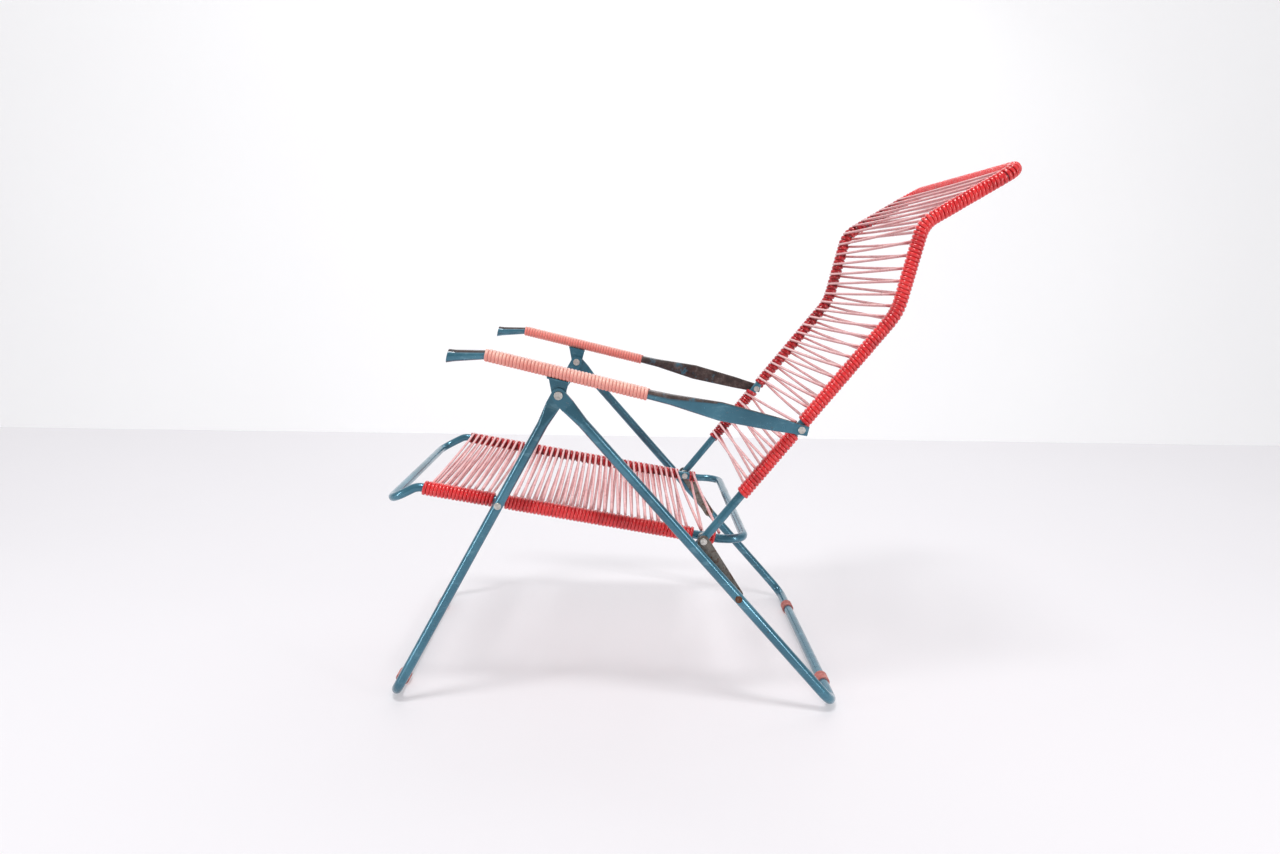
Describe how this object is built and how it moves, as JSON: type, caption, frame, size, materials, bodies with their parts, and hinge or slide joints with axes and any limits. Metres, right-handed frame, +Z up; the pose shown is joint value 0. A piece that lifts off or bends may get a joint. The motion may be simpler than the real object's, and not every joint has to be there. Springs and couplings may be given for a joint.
{
  "type": "folding deck chair",
  "caption": "Folding deck chair of bent steel tube with a corded seat, a corded back that bends into a headrest, and cord-wrapped armrests.",
  "frame": {"origin": "centre of the footprint of the whole chair on the floor", "axes": "+Z up, -X is the way the chair faces, the sitter's left is -Y"},
  "size_m": [1.035, 0.606, 0.926],
  "materials": {
    "blue_paint": "worn teal-blue enamel",
    "rubber": "dusty faded red rubber",
    "pale_cord": "pale pink translucent cord",
    "red_cord": "glossy red cord",
    "salmon_cord": "faded salmon cord",
    "bare_steel": "dull bare steel",
    "grey_spacer": "grey-beige spacer",
    "rivet_steel": "tarnished rivet"
  },
  "bodies": {
    "rear_frame": {"rear_leg_frame": "blue_paint", "rear_foot_left": "rubber", "rear_foot_right": "rubber", "apex_rivet_left": "rivet_steel", "apex_rivet_right": "rivet_steel", "link_root_rivet_left": "rivet_steel", "link_root_rivet_right": "rivet_steel"},
    "front_frame": {"front_leg_frame": "blue_paint", "front_foot_left": "rubber", "front_foot_right": "rubber", "front_leg_rivet_left": "rivet_steel", "front_leg_rivet_right": "rivet_steel"},
    "armrests": {"armrest_tube_left": "blue_paint", "armrest_tube_right": "blue_paint", "armrest_wrap_left": "salmon_cord", "armrest_wrap_right": "salmon_cord", "armrest_bracket_left": "blue_paint", "armrest_bracket_right": "blue_paint", "back_rivet_left": "rivet_steel", "back_rivet_right": "rivet_steel"},
    "back_frame": {"back_tube": "blue_paint", "back_binding_lower_left": "red_cord", "back_binding_lower_right": "red_cord", "back_binding_upper_left": "red_cord", "back_binding_upper_right": "red_cord", "headrest_binding": "red_cord", "back_webbing": "pale_cord", "seat_pivot_rivet_left": "rivet_steel", "seat_pivot_rivet_right": "rivet_steel"},
    "seat_frame": {"seat_tube": "blue_paint", "seat_binding_front_left": "red_cord", "seat_binding_front_right": "red_cord", "seat_binding_middle_left": "red_cord", "seat_binding_middle_right": "red_cord", "seat_binding_rear_left": "red_cord", "seat_binding_rear_right": "red_cord", "seat_webbing": "pale_cord", "seat_boss_left": "grey_spacer", "seat_boss_right": "grey_spacer"},
    "links": {"link_left": "bare_steel", "link_right": "bare_steel", "link_cap_left": "rivet_steel", "link_cap_right": "rivet_steel"}
  },
  "joints": [
    {"name": "fold", "type": "hinge", "parent": "rear_frame", "child": "front_frame", "pos_m": [-0.2205, 0, 0.542], "axis": [0, -1, 0], "range_deg": [0, 64]},
    {"name": "armrest_swing", "type": "hinge", "parent": "rear_frame", "child": "armrests", "pos_m": [-0.2205, 0, 0.542], "axis": [0, -1, 0], "range_deg": [-12.83, 0]},
    {"name": "back_swing", "type": "hinge", "parent": "armrests", "child": "back_frame", "pos_m": [0.176, 0, 0.49], "axis": [0, -1, 0], "range_deg": [0, 57.75]},
    {"name": "seat_swing", "type": "hinge", "parent": "back_frame", "child": "seat_frame", "pos_m": [0.0215, 0, 0.297], "axis": [0, -1, 0], "range_deg": [-72.85, 0]},
    {"name": "link_swing", "type": "hinge", "parent": "rear_frame", "child": "links", "pos_m": [0.08148, 0, 0.20434], "axis": [0, -1, 0], "range_deg": [-148.01, 0]}
  ],
  "couplings": [
    {"joint": "armrest_swing", "follows": "fold", "ratio": -0.20035},
    {"joint": "back_swing", "follows": "fold", "ratio": 0.90223},
    {"joint": "seat_swing", "follows": "fold", "ratio": -1.1382},
    {"joint": "link_swing", "follows": "fold", "ratio": -2.3125}
  ]
}
